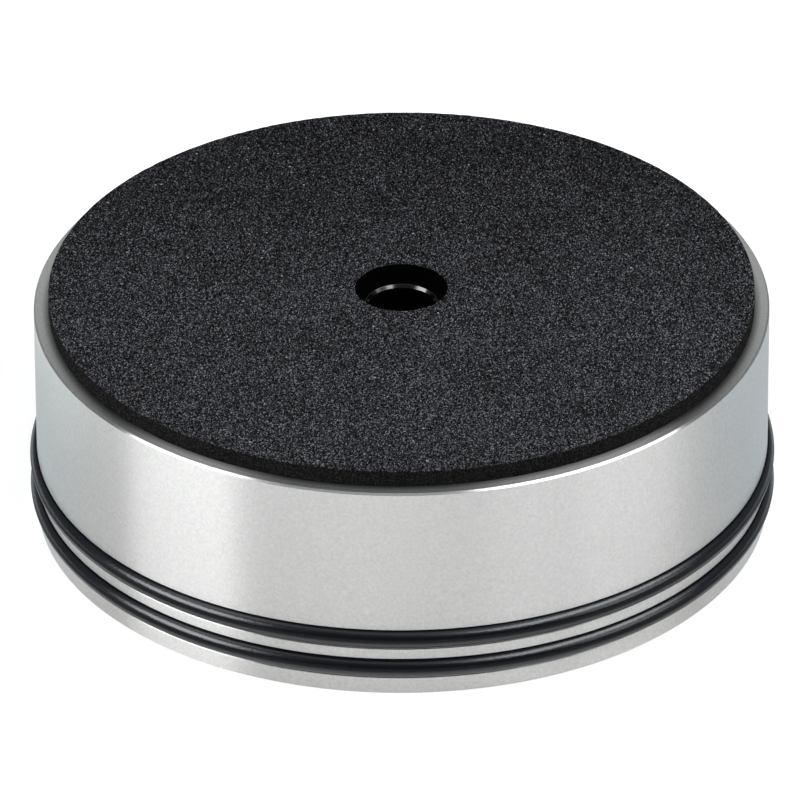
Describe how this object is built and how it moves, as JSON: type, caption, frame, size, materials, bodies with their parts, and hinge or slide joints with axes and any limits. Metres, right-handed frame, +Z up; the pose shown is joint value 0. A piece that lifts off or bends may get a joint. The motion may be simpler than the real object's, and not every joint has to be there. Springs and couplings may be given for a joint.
{
  "type": "record weight clamp",
  "caption": "Squat turned metal disc that weighs a record down on a turntable, with rubber O-rings round its wall, a sponge pad on its record side and a blind spindle bore.",
  "frame": {"origin": "centre of the head's face, on which the weight lies", "axes": "+Z up along the turning axis, from the head to the record side; X and Y are any two directions across it"},
  "size_m": [0.0815, 0.0814, 0.0269],
  "materials": {
    "turned_metal": "satin, turned round the axis",
    "ring_rubber": "smooth, half matt",
    "bush_plastic": "gloss",
    "sponge_rubber": "fine open grain, matt"
  },
  "bodies": {
    "root": {"body": "turned_metal", "lower_ring": "ring_rubber", "upper_ring": "ring_rubber", "spindle_bush": "bush_plastic", "pad": "sponge_rubber"}
  },
  "joints": []
}
